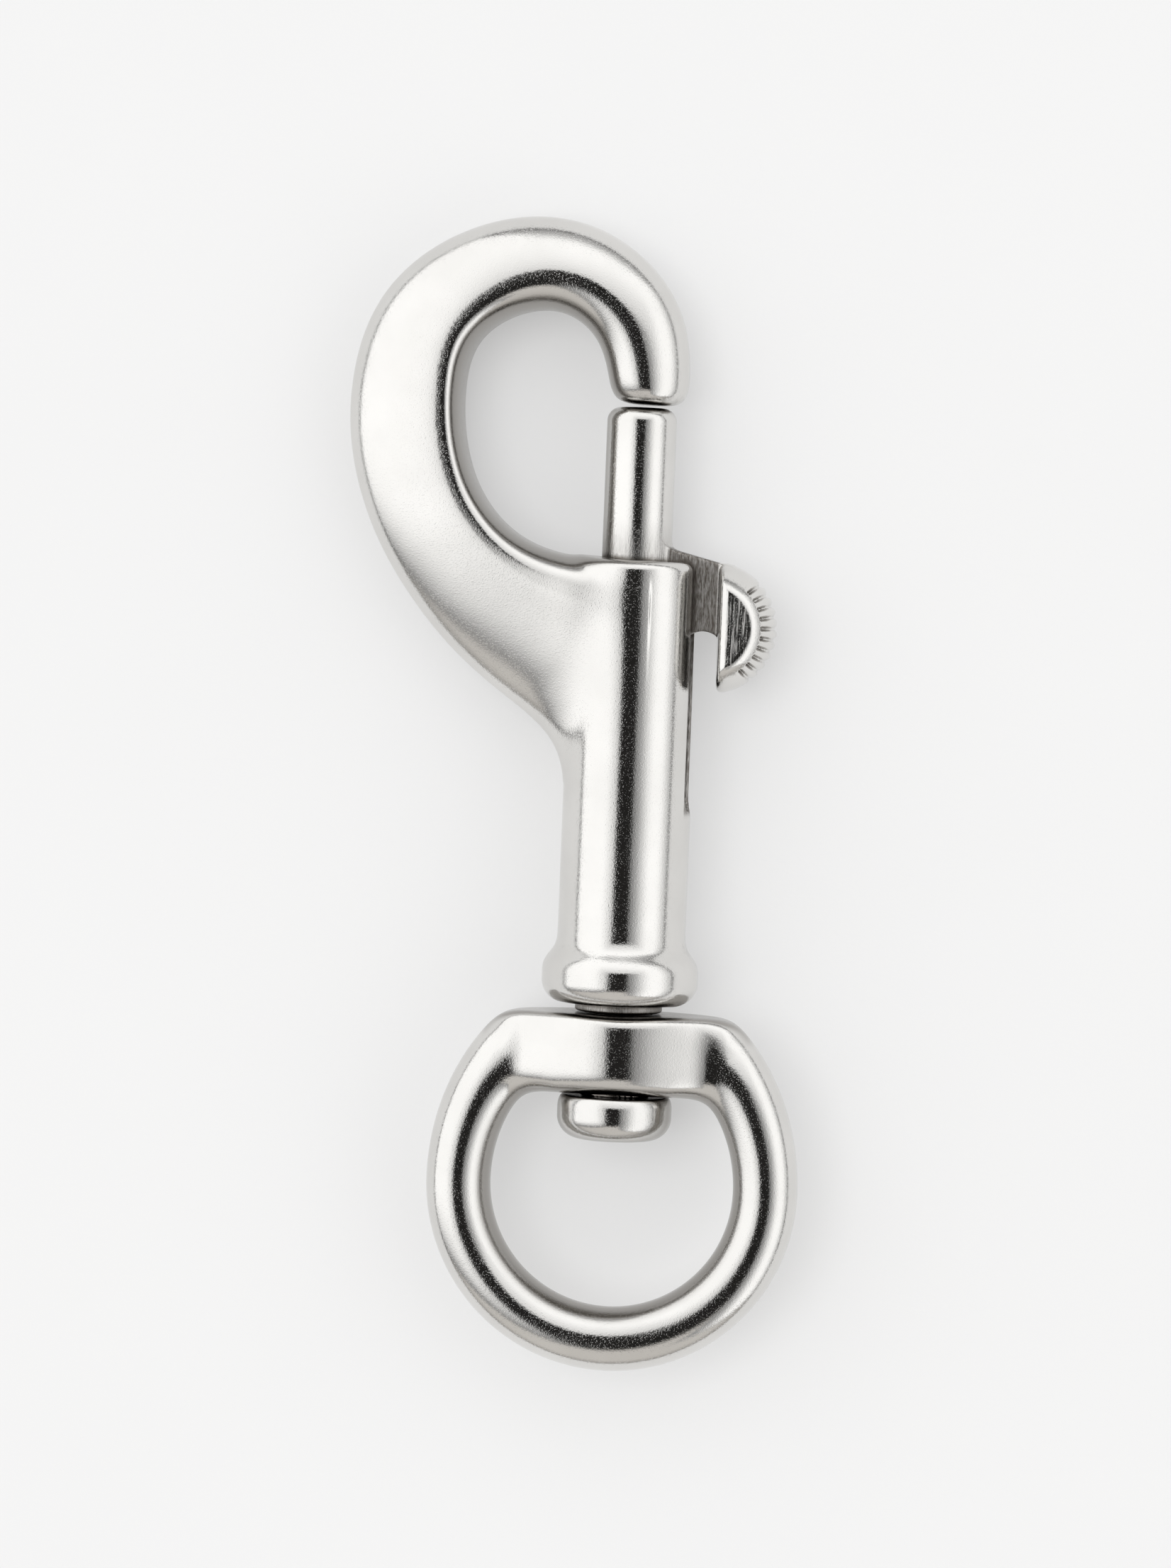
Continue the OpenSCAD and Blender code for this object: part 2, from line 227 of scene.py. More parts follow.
# The crest swells a little, over a flat stretch beside it and a longer run outwards
CREST_SWELL = 0.28
CREST_FLAT = 0.45
CREST_REACH = 2.0


class Sweep:
    """The hook's field: each point belongs to the section that passes through it."""

    def __init__(self, rows, before, cell):
        rows = np.array(rows, float)
        rows[:, 2] = np.radians(rows[:, 2])
        middle = rows[:, :2] + rows[:, 3:4] / 2 * np.c_[np.cos(rows[:, 2]), np.sin(rows[:, 2])]
        edge = np.hypot(*np.diff(rows[:, :2], axis=0).T)
        centre = np.hypot(*np.diff(middle, axis=0).T)
        self.curve = Spline(np.r_[0, np.cumsum((edge + centre) / 2)], rows)
        self.last = self.curve.t[-1]
        self.low = np.array([-26.0, 26.0])
        self.cell = cell
        self.table = self.search(before)

    def search(self, before):
        """The best starting place along the curve for each cell of the plane."""
        t = np.linspace(-before, self.last, 700)
        (px, _), (py, _), (a, _), (w, _) = self.curve.at(t, (0, 1, 2, 3))
        x = self.low[0] + self.cell * np.arange(int(32 / self.cell) + 1)
        y = self.low[1] + self.cell * np.arange(int(52 / self.cell) + 1)
        best = np.full((len(x), len(y)), 1e9)
        found = np.full((len(x), len(y)), np.nan)
        cx, cy = np.meshgrid(x, y, indexing="ij")
        for i in range(len(t)):
            dx, dy = cx - px[i], cy - py[i]
            c, s = math.cos(a[i]), math.sin(a[i])
            run = dx * c + dy * s
            off = np.abs(dx * s - dy * c)
            off = np.where((run > -2.2) & (run < w[i] + 2.2), off, 1e9)
            better = off < best
            best[better] = off[better]
            found[better] = t[i]
        found[best > 0.6] = np.nan
        return found

    def __call__(self, x, y, z):
        x, y = np.broadcast_arrays(x, y)
        i = np.clip(np.round((x - self.low[0]) / self.cell).astype(int), 0, self.table.shape[0] - 1)
        j = np.clip(np.round((y - self.low[1]) / self.cell).astype(int), 0, self.table.shape[1] - 1)
        t = self.table[i, j]
        far = np.isnan(t)
        t = np.where(far, 0, t)
        for _ in range(4):
            (px, vx), (py, vy), (a, va) = self.curve.at(t, (0, 1, 2))
            c, s = np.cos(a), np.sin(a)
            dx, dy = x - px, y - py
            g = dx * s - dy * c
            dg = -vx * s + vy * c + (dx * c + dy * s) * va
            dg = np.where(np.abs(dg) < 0.05, np.where(dg < 0, -0.05, 0.05), dg)
            t = t - np.clip(g / dg, -0.5, 0.5)
        rows = self.curve.at(np.minimum(t, self.last), range(8))
        px, py, a, w, half, crest, n_in, n_out = (value for value, _ in rows)
        run = (x - px) * np.cos(a) + (y - py) * np.sin(a)
        out = np.maximum(run - crest - CREST_FLAT, 0)
        half = half - CREST_SWELL / 2 + CREST_SWELL * np.exp(-(out / CREST_REACH) ** 1.4)
        f = egg(run - crest, z, crest, w - crest, half, n_in, n_out)
        f = np.where(t > self.last, np.maximum(f, 2.5), f)
        return np.where(far, 3.0, f)


hook = Sweep(HOOK, before=1.0, cell=0.25)


def body_field(x, y, z):
    """The barrel with its flared collar, the hook that runs out as a web, the bore and the slot."""
    r = np.hypot(x, z)
    shell = drum(r, y, BARREL_R, COLLAR_Y, MOUTH_Y, BARREL_EDGE)
    collar = drum(r, y, COLLAR_R, COLLAR_Y, COLLAR_TOP, COLLAR_EDGE)
    shell = smin(shell, collar, 2.0)
    nose = np.where((x > -7) & (y > 53), NOSE_Y - 0.03 * x - y, -9.0)
    arm = smax(hook(x, y, z), nose, 2.8)
    # The web's fillet to the barrel is wide low down, in the crotch, and tight at the mouth
    wide = (1 - step(y, 37, 45)) * (1 - step(np.abs(z), 0.8, 4.2))
    f = smin(shell, arm, 1.3 + 3.8 * wide)
    bore = np.maximum(np.maximum(r - BORE_R, BORE_Y - y), y - CUTS_END_Y)
    f = smax(f, -bore, 0.7)
    f = np.maximum(f, -np.maximum(r - BASE_HOLE_R, y - BORE_Y - 0.5))
    side = np.where(y < SLOT_Y, np.hypot(y - SLOT_Y, z), np.abs(z)) - SLOT_HALF
    slot = np.maximum(np.maximum(side, -x), y - CUTS_END_Y)
    return smax(f, -slot, 0.5)


def edge_radius(a, r, rise, flat, crisp):
    """Radius of an edge that is round below, and above runs into a flat at height flat."""
    up = np.sin(a)
    low = np.where(up > 0, 1 / np.sqrt((np.cos(a) / r) ** 2 + (up / rise) ** 2), r)
    high = flat / np.maximum(up, 0.05)
    return (low ** -crisp + np.where(up > 0.05, high, 10 * r) ** -crisp) ** (-1 / crisp)


# How far the bridge's front falls away to each side, at steps of 0.1 mm from its middle
ACROSS = np.linspace(0, 16, 161)
FALL = np.cumsum(0.0125 * ACROSS / (1 + (ACROSS / 3.5) ** 4) ** 0.25)


def eye_field(x, y, z):
    """The round ring with its thick bridge, which is crowned in front and bored for the rivet."""
    a = np.arctan2(y, x)
    r = np.hypot(x, y)
    inner = edge_radius(a, 9.4, 10.5, 7.1, 16.0)
    outer = edge_radius(a, 14.35, 16.8, 13.35, 34.0)
    middle = (inner + outer) / 2
    across = np.abs(np.cos(a)) * middle
    up = step(np.sin(a), 0, 0.12)
    ridge = BRIDGE_HALF - np.interp(np.abs(x), ACROSS, FALL)
    half = RING_HALF + up * (smax(ridge, RING_HALF, 0.6) - RING_HALF)
    block = up * (1 - step(across, 3.0, 8.2))
    block_in = up * (1 - step(across, 5.5, 9.5))
    wide = (outer - inner) / 2
    f = egg(r - middle, z, wide, wide, half, 2.1 + 2.0 * block_in, 2.1 + 6.5 * block)
    hole = np.maximum(np.hypot(x, z) - EYE_HOLE_R, np.abs(y - 10) - 5)
    return smax(f, -hole, 0.15)


def pin_field(x, y, z):
    """The stepped rivet, from its head in the eye to its peened end in the bore."""
    r = np.hypot(x, z)
    f = smax(drum(r, y, *HEAD), y - HEAD_TOP, 0.3)
    for stretch in (SHANK, NECK, SPIGOT, PEEN):
        f = np.minimum(f, drum(r, y, *stretch))
    return f


def pad_field(x, y, z):
    """A half disc with a domed side and grooves round its crowned rim."""
    dx, dy = x - PAD_X, y - PAD_Y
    a = np.degrees(np.arctan2(dy, dx))
    place = (a + RIB_DROP) / RIB_PITCH + (RIB_COUNT - 1) / 2
    off = np.abs(place - np.round(place)) * 2
    ribbed = (place > -0.6) & (place < RIB_COUNT - 0.4)
    groove = np.where(ribbed, np.exp(-(off / 0.46) ** 2), 0)
    disc = np.hypot(dx, dy) - PAD_R
    back = PAD_BACK - x
    high = np.abs(z)
    crown = 0.95 * np.minimum(high / 2.85, 1.3) ** 2.6
    depth = (0.24 + 0.22 * step(crown, 0, 0.5)) * (1 - step(crown, 0.8, 1.05))
    rim = disc + crown + groove * depth
    rim = smax(rim, back + 0.25 * (high / 3) ** 3, 0.9)
    inset = np.minimum(-disc - 0.9, 1.3 * (-back - 0.12))
    dome = PAD_HALF - 0.44 * (1 - np.clip(inset / 1.1, -1, 1)) ** 2
    return smax(rim, (high - dome) * 0.8, 0.22)


def bolt_field(x, y, z):
    """The rod, the arm that runs in the slot, and the thumb pad."""
    r = np.hypot(x, z)
    rod = drum(r, y, BOLT_R, BOLT_LOW, BOLT_TOP, BOLT_EDGE)
    slope = math.tan(math.radians(ARM_SLOPE))
    top = (y - (MOUTH_Y + ARM_OVER - (x - 3.1) * slope)) * math.cos(math.radians(ARM_SLOPE))
    arch = np.clip(1 - ((x - 5.4) / 1.3) ** 2, 0, 1)
    under = MOUTH_Y - ARM_DROP + ARCH_RISE * arch - y
    plate = smax(smax(top, under, 0.3), np.abs(z) - ARM_HALF, 0.35)
    plate = np.maximum(plate, np.maximum(x - 7.4, 0.8 - x))
    f = smin(rod, plate, 0.9)
    return smin(f, pad_field(x, y, z), 0.45)


def gradient(field, p, reach=0.012):
    """The field's slope at each point, from its values a little to each side."""
    g = np.empty_like(p)
    for i in range(3):
        d = np.zeros(3)
        d[i] = reach
        g[:, i] = (field(*(p + d).T) - field(*(p - d).T)) / (2 * reach)
    return g


def linked(name, data):
    piece = bpy.data.objects.new(name, data)
    bpy.context.scene.collection.objects.link(piece)
    return piece


def smooth_mesh(name, points, faces):
    mesh = bpy.data.meshes.new(name)
    mesh.from_pydata(placed(points).tolist(), [], faces)
    mesh.shade_smooth()
    return mesh


def surfaced(name, field, low, high, cell):
    """A mesh of the field's surface, its points and normals taken from the field itself."""
    low = np.array(low, float)
    count = np.ceil((np.array(high) - low) / cell).astype(int) + 1
    x, y, z = (low[i] + cell * np.arange(count[i]) for i in range(3))
    values = np.empty(count, np.float32)
    for i in range(0, count[0], 16):
        values[i:i + 16] = field(x[i:i + 16, None, None], y[None, :, None], z[None, None, :])
    grid = openvdb.FloatGrid(background=3.0)
    grid.copyFromArray(np.clip(values, -3, 3))
    points, quads = grid.convertToQuads(isovalue=0.0)
    points = low + cell * points.astype(float)
    for _ in range(3):
        g = gradient(field, points)
        f = field(*points.T)
        move = (f / np.maximum((g * g).sum(1), 0.05))[:, None] * g
        length = np.linalg.norm(move, axis=1, keepdims=True)
        points -= move * np.minimum(1, 0.5 * cell / np.maximum(length, 1e-9))
    g = gradient(field, points)
    normals = g / np.maximum(np.linalg.norm(g, axis=1, keepdims=True), 1e-9)
    corner = points[quads]
    face = np.cross(corner[:, 2] - corner[:, 0], corner[:, 3] - corner[:, 1])
    if (face * normals[quads[:, 0]]).sum() < 0:
        quads = quads[:, ::-1]
    mesh = smooth_mesh(name, points, quads.tolist())
    mesh.normals_split_custom_set_from_vertices((normals @ REST.T).tolist())
    mesh.update()
    return linked(name, mesh), points, normals


def crevices(points, normals, reach):
    """How closely each point is shut in by the surfaces round it, from 0 to 1."""
    x, y, z = (points + normals * reach).T
    room = np.minimum(np.minimum(body_field(x, y, z), eye_field(x, y, z)),
                      np.minimum(pin_field(x, y, z), bolt_field(x, y, z)))
    return np.clip(1 - room / reach, 0, 1)


def mark(piece, name, values):
    """Keeps a number at each point, for the material to read."""
    layer = piece.data.attributes.new(name, "FLOAT", "POINT")
    layer.data.foreach_set("value", np.asarray(values, np.float32))


# The pieces

def made(name, field, low, high, fine_cell):
    """A piece with its points and normals, marked where its neighbours shut it in."""
    cell = fine_cell
    piece, points, normals = surfaced(name, field, low, high, cell)
    # The shut mark darkens the plating's colour as painted shade in crevices and between parts
    shut = 0.5 * crevices(points, normals, 0.35) + 0.5 * crevices(points, normals, 0.9)
    mark(piece, "shut", shut)
    return piece, points, normals


body, body_p, body_n = made(
    "cast_body", body_field, (-23.2, 13.4, -6.4), (6.6, 75.2, 6.4), fine_cell=0.22)
eye, eye_p, eye_n = made(
    "ring_eye", eye_field, (-15, -15, -5.4), (15, 13.9, 5.4), fine_cell=0.2)
pin, pin_p, pin_n = made(
    "rivet", pin_field, (-5, 3.2, -5), (5, 19.4, 5), fine_cell=0.14)
bolt, bolt_p, bolt_n = made(
    "sprung_bolt", bolt_field, (-3.2, 37.5, -4), (11.5, 60.3, 4), fine_cell=0.11)


def facing_in(points, normals, centre):
    """How squarely the low sides of a piece face a centre, from 0 to 1."""
    to = np.array(centre) - points[:, :2]
    to /= np.maximum(np.linalg.norm(to, axis=1, keepdims=True), 0.01)
    return step((to * normals[:, :2]).sum(1), 0.25, 0.6) * (1 - step(normals[:, 2], 0.6, 0.9))


# Painted shade, with a little more roughness, on the low walls round the hook's opening, in and
# above the eye, on the rivet and on the rod
x, y, z = body_p.T
mark(body, "wall", facing_in(body_p, body_n, (-7.9, 58.8)) * step(y, 46, 48))
# Painted shade inside the slot, through the same dark mark as the bolt's rough unplated arm
slot = (np.abs(z) < SLOT_HALF + 0.3) * step(x, 1.5, 2.5) * (y < MOUTH_Y + 0.3)
mark(body, "cast", 0.9 * slot * step(y, SLOT_Y - 1.8, SLOT_Y - 1.2))

(x, y, z), (nx, ny, nz) = eye_p.T, eye_n.T
# Painted shade on the bridge's top face beside the rivet's neck
top = step(ny, 0.4, 0.8) * step(y, 11, 12) * (1 - step(nz, 0.5, 0.8))
mark(eye, "wall", np.maximum(facing_in(eye_p, eye_n, (0, 0)), top))

mark(pin, "wall", 1 - step(pin_n[:, 2], 0.25, 0.6))
# Painted shade on the rivet's neck between the collar and the bridge, and on its hidden end
mark(pin, "cast", 0.7 * step(pin_p[:, 1], 13.3, 13.5))

# The bolt's arm is left as cast, its rod is worn low down and its pad's flat is brushed
(x, y, z), (nx, ny, nz) = bolt_p.T, bolt_n.T
# Painted shade on the rod's side that faces the hook
mark(bolt, "wall", (1 - step(nz, 0.3, 0.65)) * step(-nx, 0.3, 0.6) * (1 - step(x, 2.6, 3)))
arm = step(np.hypot(x, z), 2.72, 3.0) * (1 - step(x, 6.3, 6.6))
worn = 0.3 * (1 - step(y, 48.4, 51.5)) * (1 - step(x, 2.6, 2.8))
mark(bolt, "cast", np.maximum(arm, worn))
mark(bolt, "brushed", step(x, 6.8, 7.1) * step(np.abs(z), 3.43, 3.49))


def wire_path(turns, foot, head, wire, radius, steps):
    """The middle of a coil's wire, with one closed turn at each end."""
    rise = head - foot - 2 * wire
    t = np.arange(0, steps * (turns + 2) + 1) / steps
    y = foot + wire * np.minimum(1, t)
    y = y + rise * np.clip((t - 1) / turns, 0, 1) + wire * np.maximum(0, t - 1 - turns)
    a = 2 * math.pi * t
    return np.c_[radius * np.cos(a), y, -radius * np.sin(a)]


def swept_wire(name, path, radius, sides):
    """A round wire along a path, with a low cone on each end."""
    along = np.gradient(path, axis=0)
    along /= np.linalg.norm(along, axis=1, keepdims=True)
    out = path * [1, 0, 1]
    out /= np.linalg.norm(out, axis=1, keepdims=True)
    up = np.cross(along, out)
    angle = 2 * math.pi * np.arange(sides) / sides
    c, s = np.cos(angle)[None, :, None], np.sin(angle)[None, :, None]
    outwards = (out[:, None] * c + up[:, None] * s).reshape(-1, 3)
    points = np.repeat(path, sides, axis=0) + radius * outwards
    ring = np.arange(sides)
    after = (ring + 1) % sides
    faces = []
    for i in range(len(path) - 1):
        a, b = i * sides, (i + 1) * sides
        faces.extend(np.c_[a + ring, a + after, b + after, b + ring].tolist())
    n = len(points)
    points = np.vstack([points, path[0], path[-1]])
    last = n - sides
    tips = [[(k + 1) % sides, k, n] for k in range(sides)]
    tips += [[last + k, last + (k + 1) % sides, n + 1] for k in range(sides)]
    return linked(name, smooth_mesh(name, points, faces + tips))


coil_low = SPRING_FOOT + WIRE / 2
coil_high = BOLT_LOW - SEAT_CLEAR - WIRE / 2
coil = wire_path(COIL_TURNS, coil_low, coil_high, WIRE, COIL_R, steps=40)
spring = swept_wire("coil_spring", coil, WIRE / 2, sides=14)


# Materials

PLATE_LIGHT = (0.735, 0.725, 0.705)
PLATE_DARK = (0.69, 0.68, 0.66)
# Painted shade on low walls that face into the openings
WALL_SHADE_TONE = (0.33, 0.315, 0.295)
# The bolt's rough unplated arm has this tone of its own; the slot and the rivet's neck get it as
# painted shade
CAST_AND_SHADE_TONE = (0.135, 0.12, 0.105)
# Painted shade where neighbouring surfaces shut a point in
OCCLUSION_SHADE_TONE = (0.13, 0.115, 0.10)
WIRE_LIGHT = (0.56, 0.55, 0.54)
WIRE_DARK = (0.42, 0.41, 0.40)
FLOOR_LIGHT = (0.80, 0.80, 0.80)
FLOOR_DARK = (0.79, 0.79, 0.79)


def new_material(name):
    material = bpy.data.materials.new(name)
    material.use_nodes = True
    nodes, links = material.node_tree.nodes, material.node_tree.links
    nodes.clear()
    out = nodes.new("ShaderNodeOutputMaterial")
    shader = nodes.new("ShaderNodeBsdfPrincipled")
    links.new(shader.outputs["BSDF"], out.inputs["Surface"])
    return material, nodes, links, shader


def noise(nodes, links, vector, scale, detail=3.0, roughness=0.55):
    node = nodes.new("ShaderNodeTexNoise")
    node.inputs["Scale"].default_value = scale
    node.inputs["Detail"].default_value = detail
    node.inputs["Roughness"].default_value = roughness
    links.new(vector, node.inputs["Vector"])
    return node.outputs["Fac"]


def stretched(nodes, links, vector, scale):
    """The place scaled by axis: a noise read at it is drawn out where the scale is small."""
    node = nodes.new("ShaderNodeMapping")
    node.inputs["Scale"].default_value = scale
    links.new(vector, node.inputs["Vector"])
    return node.outputs["Vector"]


def ranged(nodes, links, value, low, high, to_low=0.0, to_high=1.0, smooth=False):
    """Carries low to high over to to_low to to_high, and holds the ends beyond them."""
    node = nodes.new("ShaderNodeMapRange")
    if smooth:
        node.interpolation_type = "SMOOTHSTEP"
    node.inputs["From Min"].default_value = low
    node.inputs["From Max"].default_value = high
    node.inputs["To Min"].default_value = to_low
    node.inputs["To Max"].default_value = to_high
    links.new(value, node.inputs["Value"])
    return node.outputs["Result"]


def sums(nodes, links, operation, a, b):
    node = nodes.new("ShaderNodeMath")
    node.operation = operation
    for socket, value in zip(node.inputs, (a, b)):
        if isinstance(value, (int, float)):
            socket.default_value = value
        else:
            links.new(value, socket)
    return node.outputs["Value"]


def bumped(nodes, links, height, distance, below=None):
    node = nodes.new("ShaderNodeBump")
    node.inputs["Strength"].default_value = 1.0
    node.inputs["Distance"].default_value = distance
    links.new(height, node.inputs["Height"])
    if below is not None:
        links.new(below, node.inputs["Normal"])
    return node.outputs["Normal"]


def mixed(nodes, links, factor, a, b):
    node = nodes.new("ShaderNodeMix")
    node.data_type = "RGBA"
    links.new(factor, node.inputs["Factor"])
    for socket, value in ((node.inputs["A"], a), (node.inputs["B"], b)):
        if isinstance(value, tuple):
            socket.default_value = (*value, 1)
        else:
            links.new(value, socket)
    return node.outputs["Result"]


def read_mark(nodes, name):
    node = nodes.new("ShaderNodeAttribute")
    node.attribute_name = name
    return node.outputs["Fac"]


def nickel(base_rough, grain):
    """Bright plating over a casting: a faint swell, a fine grain, rougher places left as a bare
    casting, and painted shade on low inward walls, in the slot, on the rivet's neck and in
    crevices.
    """
    material, nodes, links, shader = new_material("nickel_plating")
    place = nodes.new("ShaderNodeTexCoord").outputs["Object"]
    shader.inputs["Metallic"].default_value = 1.0
    tone = noise(nodes, links, place, 160, 4)
    tone = ranged(nodes, links, tone, 0.35, 0.65, 0, 1)
    colour = mixed(nodes, links, tone, PLATE_LIGHT, PLATE_DARK)
    cast = read_mark(nodes, "cast")
    brushed = read_mark(nodes, "brushed")
    wall = read_mark(nodes, "wall")
    shut = read_mark(nodes, "shut")
    streak = noise(nodes, links, stretched(nodes, links, place, (1.0, 0.05, 1.0)), 6500, 2, 0.5)
    pits = noise(nodes, links, stretched(nodes, links, place, (1.0, 0.14, 1.0)), 8500, 4, 0.65)
    # Darker rough unplated arm on the bolt, and painted shade in the slot and on the rivet's neck
    cast_and_shade_dark = ranged(nodes, links, pits, 0.36, 0.60, 0.55, 1)
    cast_and_shade_dark = sums(nodes, links, "MULTIPLY", cast_and_shade_dark, cast)
    colour = mixed(nodes, links, cast_and_shade_dark, colour, CAST_AND_SHADE_TONE)
    # Painted shade on the low walls that face into the openings
    colour = mixed(nodes, links, sums(nodes, links, "MULTIPLY", wall, 0.85), colour, WALL_SHADE_TONE)
    # Painted shade in crevices and gaps between parts, from the shut mark with a little noise
    occlusion_shade = noise(nodes, links, place, 2200, 4, 0.6)
    occlusion_shade = sums(nodes, links, "ADD", shut, ranged(nodes, links, occlusion_shade, 0.3, 0.7, -0.12, 0.12))
    occlusion_shade = ranged(nodes, links, occlusion_shade, 0.22, 0.85, 0, 0.9)
    colour = mixed(nodes, links, occlusion_shade, colour, OCCLUSION_SHADE_TONE)
    links.new(colour, shader.inputs["Base Color"])
    fine = noise(nodes, links, place, 6500, 3, 0.65)
    smudge = noise(nodes, links, place, 900, 4, 0.6)
    rough_now = ranged(nodes, links, smudge, 0.3, 0.75, base_rough, base_rough + 0.06)
    rough_now = sums(nodes, links, "ADD", rough_now, sums(nodes, links, "MULTIPLY", cast, 0.28))
    rough_now = sums(nodes, links, "ADD", rough_now, sums(nodes, links, "MULTIPLY", wall, 0.10))
    scratch = ranged(nodes, links, streak, 0.50, 0.68, 0.02, 0.34)
    scratch = sums(nodes, links, "MULTIPLY", brushed, scratch)
    rough_now = sums(nodes, links, "ADD", rough_now, scratch)
    links.new(rough_now, shader.inputs["Roughness"])
    swell = noise(nodes, links, place, 320, 2, 0.5)
    normal = bumped(nodes, links, swell, 6e-6)
    normal = bumped(nodes, links, fine, grain, normal)
    speck = ranged(nodes, links, noise(nodes, links, place, 9500, 1, 0.5), 0.58, 0.72, 0, 1)
    normal = bumped(nodes, links, speck, 3.2e-6, normal)
    brushed_height = sums(nodes, links, "MULTIPLY", streak, brushed)
    normal = bumped(nodes, links, brushed_height, 1.6e-5, normal)
    cast_height = sums(nodes, links, "MULTIPLY", pits, cast)
    normal = bumped(nodes, links, cast_height, 6e-5, normal)
    links.new(normal, shader.inputs["Normal"])
    return material


def spring_steel():
    """Drawn wire: a dull bright steel with fine marks along the wire."""
    material, nodes, links, shader = new_material("drawn_wire")
    place = nodes.new("ShaderNodeTexCoord").outputs["Object"]
    shader.inputs["Metallic"].default_value = 1.0
    tone = noise(nodes, links, place, 500, 4)
    shade = ranged(nodes, links, tone, 0.35, 0.65, 0, 1)
    colour = mixed(nodes, links, shade, WIRE_LIGHT, WIRE_DARK)
    links.new(colour, shader.inputs["Base Color"])
    links.new(ranged(nodes, links, tone, 0.3, 0.7, 0.24, 0.36), shader.inputs["Roughness"])
    draw = noise(nodes, links, stretched(nodes, links, place, (1.0, 6.0, 1.0)), 3000, 3)
    links.new(bumped(nodes, links, draw, 6e-6), shader.inputs["Normal"])
    return material


plating = nickel(base_rough=0.05, grain=7e-6)
wire_steel = spring_steel()

for piece, rides, node in (
    (body, "casting", "body"),
    (pin, "casting", "swivel_pin"),
    (spring, "casting", "spring"),
    (bolt, "bolt", "bolt"),
    (eye, "eye", "eye"),
):
    is_wire = piece is spring
    piece.data.materials.append(wire_steel if is_wire else plating)
    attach(piece, rides)
    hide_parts(node)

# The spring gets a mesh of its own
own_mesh(spring)


# Floor

def floor_material():
    """A pale matt floor that keeps part of its tone in the object's soft shadow."""
    material, nodes, links, shader = new_material("pale_floor")
    place = nodes.new("ShaderNodeTexCoord").outputs["Object"]
    tone = noise(nodes, links, place, 30, 3)
    shade = ranged(nodes, links, tone, 0.3, 0.7, 0, 1)
    colour = mixed(nodes, links, shade, FLOOR_LIGHT, FLOOR_DARK)
    links.new(colour, shader.inputs["Base Color"])
    shader.inputs["Roughness"].default_value = 0.9
    shader.inputs["Specular IOR Level"].default_value = 0.1
    grain = noise(nodes, links, place, 2500, 3)
    links.new(bumped(nodes, links, grain, 1e-5), shader.inputs["Normal"])
    ray = nodes.new("ShaderNodeLightPath").outputs
    seen = sums(nodes, links, "ADD", ray["Is Camera Ray"], ray["Is Glossy Ray"])
    plain = nodes.new("ShaderNodeEmission")
    plain.inputs["Color"].default_value = (0.9, 0.9, 0.9, 1)
    mix = nodes.new("ShaderNodeMixShader")
    links.new(sums(nodes, links, "MULTIPLY", seen, 0.4), mix.inputs["Fac"])
    links.new(shader.outputs["BSDF"], mix.inputs[1])
    links.new(plain.outputs["Emission"], mix.inputs[2])
    links.new(mix.outputs["Shader"], nodes["Material Output"].inputs["Surface"])
    return material


bpy.ops.mesh.primitive_plane_add(size=6, location=(0, 0.03, FLOOR * 0.001))
floor = bpy.context.object
floor.name = "floor"
floor.data.materials.append(floor_material())


# Light: the studio is three tilted soft panels, left, right and back, round a dark gap
# overhead, with a low warm light in front. The camera sees a plain pale background.

